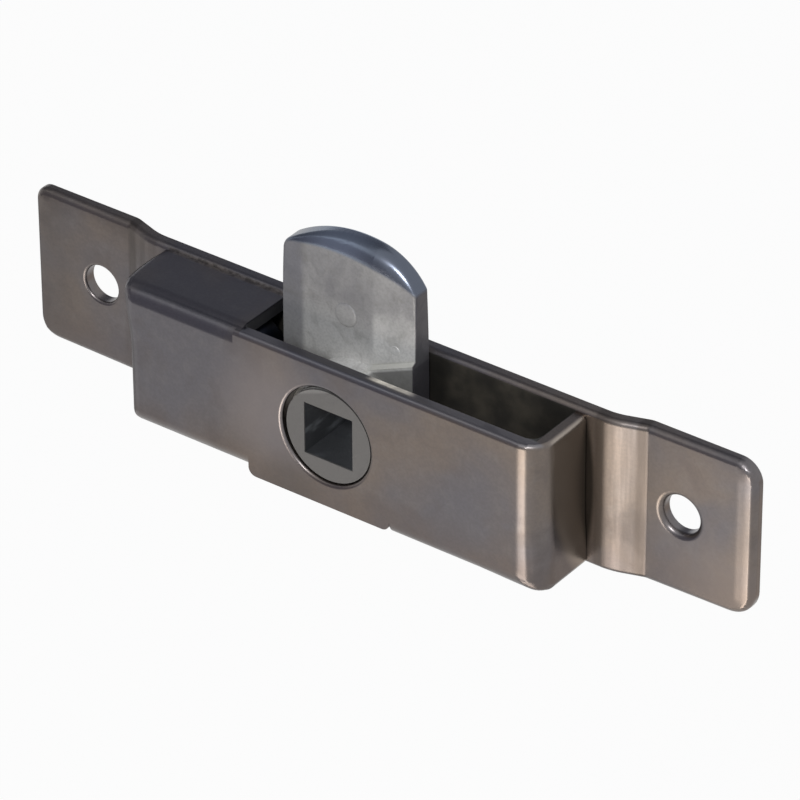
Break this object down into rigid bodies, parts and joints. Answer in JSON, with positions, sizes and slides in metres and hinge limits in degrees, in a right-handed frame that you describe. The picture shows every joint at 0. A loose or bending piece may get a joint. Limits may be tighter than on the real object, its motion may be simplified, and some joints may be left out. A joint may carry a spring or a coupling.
{
  "type": "quarter-turn tongue lock",
  "caption": "Surface-mounted lock: a cranked strap with fixing holes, a pressed case open on one side, and a cast tongue turned by a square key.",
  "frame": {"origin": "on the spindle axis, in the plane of the back faces of the two ears, which is the door's surface", "axes": "+X along the strap, to the ear beside the open half of the case; -Y out of the door, towards the key; +Z the way the tongue points when it is shot"},
  "size_m": [0.126, 0.015, 0.0406],
  "materials": {
    "pressed_steel": "satin zinc plate over cold-rolled strip, faint warm heat tint",
    "zinc_casting": "as-cast zinc alloy, tumbled to a soft satin",
    "spring_steel": "blued strip"
  },
  "bodies": {
    "lock_body": {"back_plate": "pressed_steel", "case": "pressed_steel", "leaf_spring": "spring_steel"},
    "tongue": {"tongue": "zinc_casting"}
  },
  "joints": [
    {"name": "tongue_turn", "type": "hinge", "parent": "lock_body", "child": "tongue", "pos_m": [0, 0, 0], "axis": [0, 1, 0], "range_deg": [0, 90], "deforming": ["leaf_spring"]}
  ]
}
